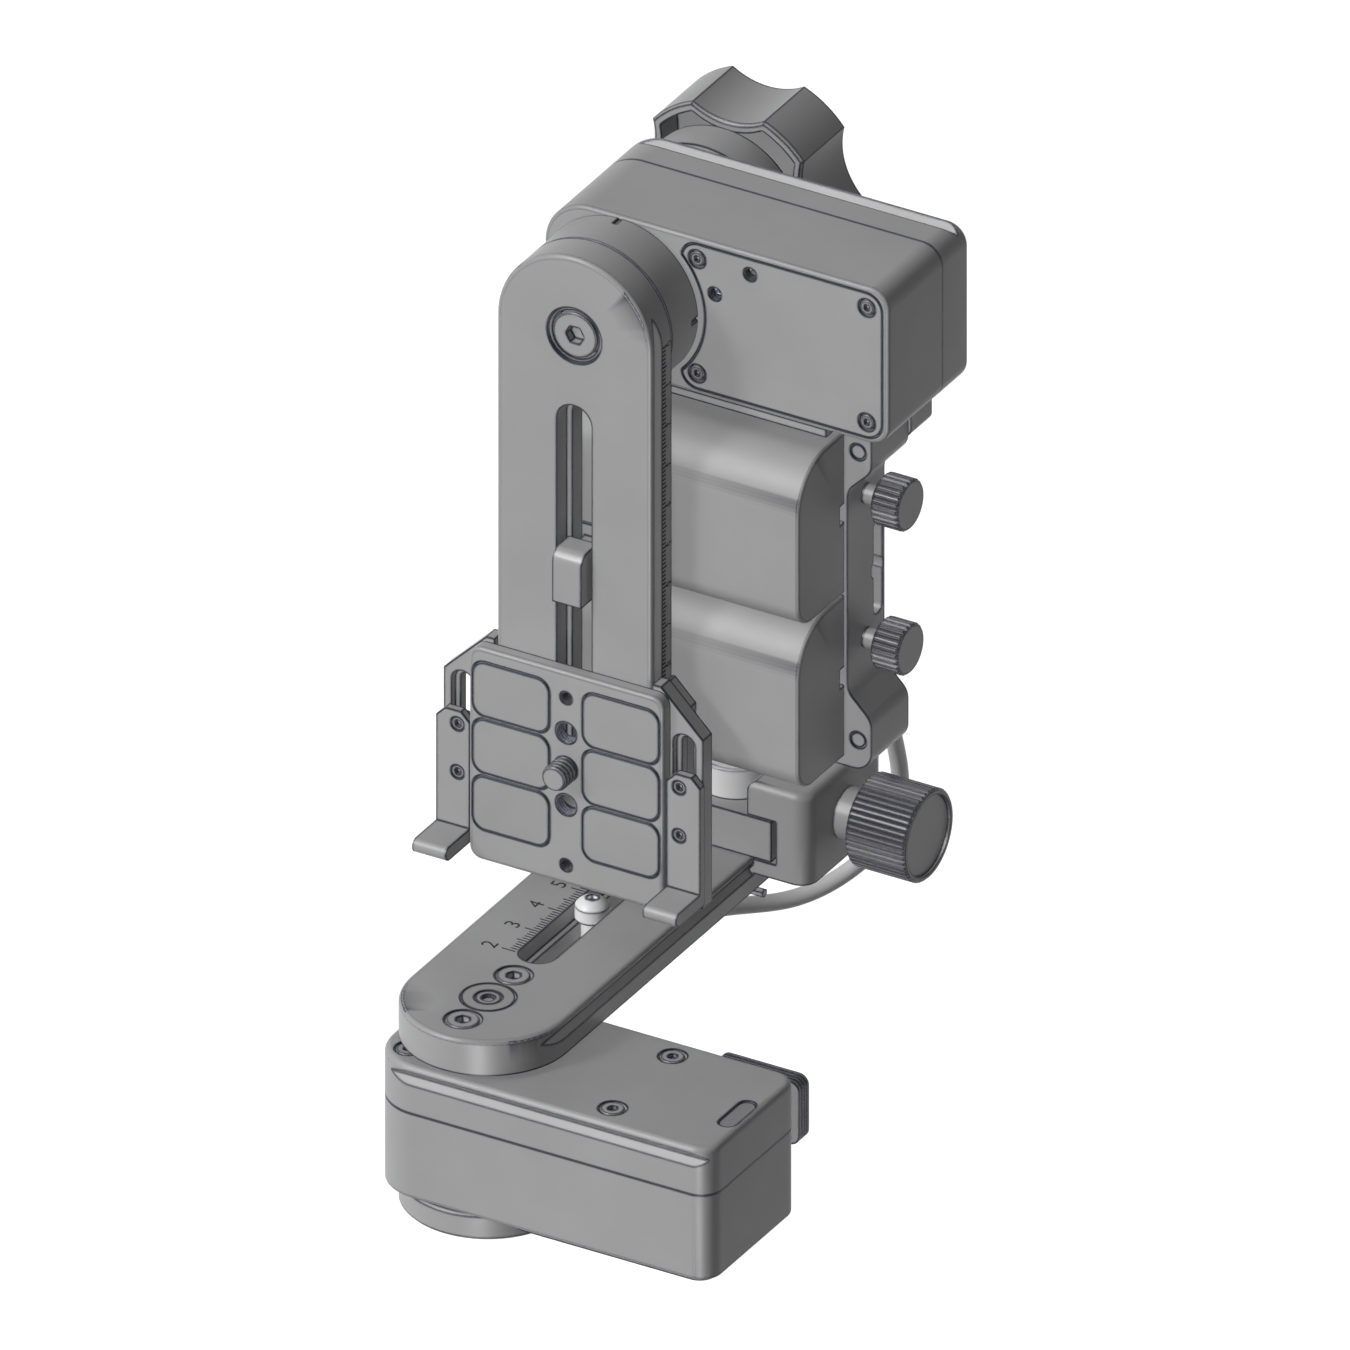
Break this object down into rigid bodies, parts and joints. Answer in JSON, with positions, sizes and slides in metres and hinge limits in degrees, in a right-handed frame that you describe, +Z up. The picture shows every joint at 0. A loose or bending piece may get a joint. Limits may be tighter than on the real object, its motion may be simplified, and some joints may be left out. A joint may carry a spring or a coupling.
{
  "type": "motorised panoramic tripod head",
  "caption": "Motorised panoramic head: geared yaw base with slotted rail, upright carriage with batteries, geared pitch drive and swing arm carrying a camera plate",
  "frame": {"origin": "yaw axis where it meets the underside of the tripod foot", "axes": "+Z up along the yaw axis, +Y along the lower rail from the yaw axis to its far end, +X along the long side of both gearbox cases"},
  "size_m": [0.1002, 0.1454, 0.2192],
  "materials": {
    "case_aluminium": "fine bead-blasted anodised aluminium",
    "rail_aluminium": "satin anodised aluminium with a milled grain",
    "plate_aluminium": "satin anodised aluminium plate",
    "knob_aluminium": "turned and fluted, anodised",
    "screw_steel": "zinc-plated steel",
    "shaft_steel": "ground steel",
    "gear_brass": "machined brass",
    "motor_can": "drawn steel can",
    "board_plastic": "solder-masked board",
    "battery_plastic": "moulded, lightly textured",
    "knob_plastic": "moulded, satin",
    "pad_rubber": "smooth grip rubber",
    "cable_jacket": "smooth flexible jacket",
    "window_plastic": "translucent lens",
    "vial_glass": "clear disc"
  },
  "bodies": {
    "foot": {"tripod_foot": "case_aluminium", "yaw_shaft": "shaft_steel", "yaw_worm_wheel": "gear_brass"},
    "turntable": {"yaw_case": "case_aluminium", "yaw_cover": "case_aluminium", "yaw_case_screws": "screw_steel", "yaw_service_plate": "case_aluminium", "yaw_motor": "motor_can", "yaw_bearings": "shaft_steel", "yaw_control_board": "board_plastic", "yaw_socket_block": "knob_plastic", "yaw_status_window": "window_plastic", "rail_spacer": "rail_aluminium", "lower_rail": "rail_aluminium", "rail_screws": "screw_steel", "rail_axis_cap": "knob_aluminium", "rail_stop_screw": "screw_steel", "power_cable": "cable_jacket"},
    "yaw_worm_shaft": {"yaw_worm": "shaft_steel"},
    "yaw_motor_shaft": {"yaw_motor_pinion": "shaft_steel"},
    "carriage": {"clamp_base": "plate_aluminium", "spirit_level_cup": "plate_aluminium", "spirit_level_vial": "vial_glass", "slot_nut": "screw_steel", "upright_post": "rail_aluminium", "upright_bracket": "plate_aluminium", "battery_frame": "plate_aluminium", "frame_pins": "screw_steel", "pitch_case": "case_aluminium", "pitch_cover": "case_aluminium", "pitch_service_plate": "case_aluminium", "pitch_case_screws": "screw_steel", "pitch_bearings": "shaft_steel", "pitch_motor": "motor_can", "pitch_control_board": "board_plastic", "clutch_collar": "case_aluminium"},
    "jaw": {"clamp_jaw": "plate_aluminium"},
    "jaw_knob": {"clamp_knob": "knob_aluminium"},
    "upper_battery": {"battery_upper": "battery_plastic"},
    "lower_battery": {"battery_lower": "battery_plastic"},
    "upper_lock": {"battery_lock_upper": "knob_aluminium"},
    "lower_lock": {"battery_lock_lower": "knob_aluminium"},
    "clutch": {"clutch_knob": "knob_plastic"},
    "pitch_worm_shaft": {"pitch_worm": "shaft_steel"},
    "pitch_motor_shaft": {"pitch_motor_pinion": "shaft_steel"},
    "swing": {"pitch_boss": "case_aluminium", "pitch_shaft": "shaft_steel", "pitch_worm_wheel": "gear_brass", "swing_arm": "rail_aluminium", "swing_arm_screw": "screw_steel"},
    "arm_stop": {"swing_arm_stop": "screw_steel"},
    "plate_carrier": {"left_plate_jaw": "plate_aluminium", "right_plate_jaw": "plate_aluminium", "camera_plate": "plate_aluminium", "grip_pads": "pad_rubber"},
    "mount_screw": {"camera_screw": "screw_steel"},
    "left_stop": {"left_camera_stop": "plate_aluminium", "left_stop_screws": "screw_steel"},
    "right_stop": {"right_camera_stop": "plate_aluminium", "right_stop_screws": "screw_steel"}
  },
  "joints": [
    {"name": "yaw", "type": "hinge", "parent": "foot", "child": "turntable", "pos_m": [0, 0, 0.0231], "axis": [0, 0, 1], "continuous": true},
    {"name": "yaw_worm_turn", "type": "hinge", "parent": "turntable", "child": "yaw_worm_shaft", "pos_m": [0, 0.0136, 0.0206], "axis": [1, 0, 0], "continuous": true},
    {"name": "yaw_motor_turn", "type": "hinge", "parent": "turntable", "child": "yaw_motor_shaft", "pos_m": [0.02, 0.006, 0.0206], "axis": [1, 0, 0], "continuous": true},
    {"name": "carriage_slide", "type": "slide", "parent": "turntable", "child": "carriage", "axis": [0, 1, 0], "range_m": [-0.012, 0]},
    {"name": "clamp_jaw_slide", "type": "slide", "parent": "carriage", "child": "jaw", "axis": [1, 0, 0], "range_m": [0, 0.0012]},
    {"name": "clamp_knob_turn", "type": "hinge", "parent": "jaw", "child": "jaw_knob", "pos_m": [0.047, 0.0966, 0.0574], "axis": [1, 0, 0], "range_deg": [0, 430]},
    {"name": "upper_battery_slide", "type": "slide", "parent": "carriage", "child": "upper_battery", "axis": [1, 0, 0], "range_m": [0, 0.012]},
    {"name": "lower_battery_slide", "type": "slide", "parent": "carriage", "child": "lower_battery", "axis": [1, 0, 0], "range_m": [0, 0.012]},
    {"name": "upper_lock_turn", "type": "hinge", "parent": "carriage", "child": "upper_lock", "pos_m": [0.055, 0.076, 0.1524], "axis": [1, 0, 0], "range_deg": [-270, 0]},
    {"name": "lower_lock_turn", "type": "hinge", "parent": "carriage", "child": "lower_lock", "pos_m": [0.055, 0.076, 0.1164], "axis": [1, 0, 0], "range_deg": [-270, 0]},
    {"name": "clutch_turn", "type": "hinge", "parent": "carriage", "child": "clutch", "pos_m": [0, 0.112, 0.1964], "axis": [0, 1, 0], "range_deg": [-180, 180]},
    {"name": "pitch", "type": "hinge", "parent": "carriage", "child": "swing", "pos_m": [0, 0.055, 0.1964], "axis": [0, 1, 0], "continuous": true},
    {"name": "pitch_worm_turn", "type": "hinge", "parent": "carriage", "child": "pitch_worm_shaft", "pos_m": [0, 0.0719, 0.1828], "axis": [1, 0, 0], "continuous": true},
    {"name": "pitch_motor_turn", "type": "hinge", "parent": "carriage", "child": "pitch_motor_shaft", "pos_m": [0.02, 0.0719, 0.1904], "axis": [1, 0, 0], "continuous": true},
    {"name": "arm_stop_slide", "type": "slide", "parent": "swing", "child": "arm_stop", "axis": [0, 0, 1], "range_m": [-0.004, 0.03]},
    {"name": "plate_slide", "type": "slide", "parent": "swing", "child": "plate_carrier", "axis": [0, 0, 1], "range_m": [0, 0.01]},
    {"name": "camera_screw_turn", "type": "hinge", "parent": "plate_carrier", "child": "mount_screw", "pos_m": [0, 0.0337, 0.09], "axis": [0, 1, 0], "continuous": true},
    {"name": "left_stop_slide", "type": "slide", "parent": "plate_carrier", "child": "left_stop", "axis": [0, 0, 1], "range_m": [-0.004, 0.006]},
    {"name": "right_stop_slide", "type": "slide", "parent": "plate_carrier", "child": "right_stop", "axis": [0, 0, 1], "range_m": [-0.004, 0.006]}
  ],
  "couplings": [
    {"joint": "yaw_worm_turn", "follows": "yaw", "ratio": 24},
    {"joint": "yaw_motor_turn", "follows": "yaw", "ratio": -19.2},
    {"joint": "pitch_worm_turn", "follows": "pitch", "ratio": 24},
    {"joint": "pitch_motor_turn", "follows": "pitch", "ratio": -19.2},
    {"joint": "clamp_knob_turn", "follows": "clamp_jaw_slide", "rad_per_m": 6250}
  ]
}
